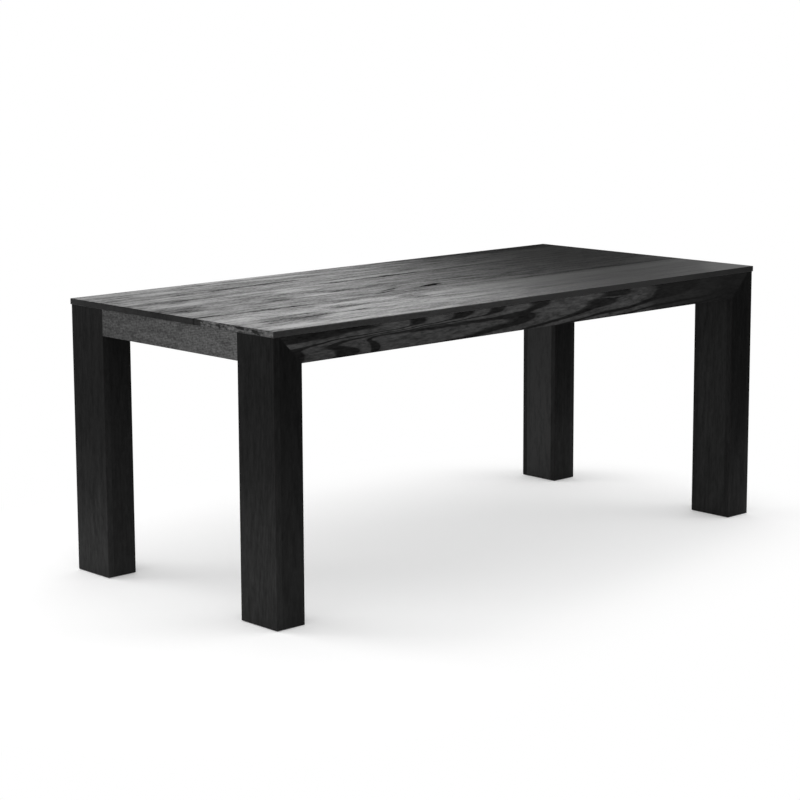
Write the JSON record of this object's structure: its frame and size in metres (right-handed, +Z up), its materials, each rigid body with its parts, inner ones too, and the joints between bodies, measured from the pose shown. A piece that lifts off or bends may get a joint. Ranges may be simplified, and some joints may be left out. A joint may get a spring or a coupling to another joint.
{
  "type": "parsons dining table",
  "caption": "Rectangular parsons dining table in black-stained oak: thin planked top, deep aprons mitred to square-edged slab legs flush with the corners.",
  "frame": {"origin": "on the floor, under the centre of the top", "axes": "+X along the table's length, +Y across it, +Z up; the front long side faces -Y"},
  "size_m": [1.85, 0.85, 0.75],
  "materials": {
    "top_oak": "black stain, matt lacquer",
    "apron_oak": "black stain, matt lacquer",
    "leg_oak": "black stain, matt lacquer",
    "brace_timber": "black stain",
    "hidden_timber": "planed, unfinished",
    "zinc_steel": "zinc plated",
    "black_nylon": "moulded",
    "grey_felt": "pressed felt"
  },
  "bodies": {
    "root": {"top_board_front": "top_oak", "top_board_middle": "top_oak", "top_board_back": "top_oak", "top_tongues": "hidden_timber", "long_apron_front": "apron_oak", "long_apron_back": "apron_oak", "end_apron_left": "apron_oak", "end_apron_right": "apron_oak", "mitre_splines": "hidden_timber", "end_apron_tongues": "hidden_timber", "leg_front_left_end_board": "leg_oak", "leg_front_left_face_board": "leg_oak", "leg_front_left_inner_end_board": "leg_oak", "leg_front_left_inner_side_board": "leg_oak", "leg_front_left_head_block": "hidden_timber", "leg_front_left_foot_block": "hidden_timber", "corner_brace_front_left": "brace_timber", "leg_front_right_end_board": "leg_oak", "leg_front_right_face_board": "leg_oak", "leg_front_right_inner_end_board": "leg_oak", "leg_front_right_inner_side_board": "leg_oak", "leg_front_right_head_block": "hidden_timber", "leg_front_right_foot_block": "hidden_timber", "corner_brace_front_right": "brace_timber", "leg_back_left_end_board": "leg_oak", "leg_back_left_face_board": "leg_oak", "leg_back_left_inner_end_board": "leg_oak", "leg_back_left_inner_side_board": "leg_oak", "leg_back_left_head_block": "hidden_timber", "leg_back_left_foot_block": "hidden_timber", "corner_brace_back_left": "brace_timber", "leg_back_right_end_board": "leg_oak", "leg_back_right_face_board": "leg_oak", "leg_back_right_inner_end_board": "leg_oak", "leg_back_right_inner_side_board": "leg_oak", "leg_back_right_head_block": "hidden_timber", "leg_back_right_foot_block": "hidden_timber", "corner_brace_back_right": "brace_timber", "cross_batten_left": "brace_timber", "cross_batten_middle": "brace_timber", "cross_batten_right": "brace_timber", "leg_bolts": "zinc_steel", "bolt_washers": "zinc_steel", "threaded_inserts": "zinc_steel", "brace_screws": "zinc_steel", "batten_screws": "zinc_steel", "top_clips": "zinc_steel", "clip_screws": "zinc_steel", "glide_screws": "zinc_steel", "glide_cups": "black_nylon", "felt_pads": "grey_felt"}
  },
  "joints": []
}
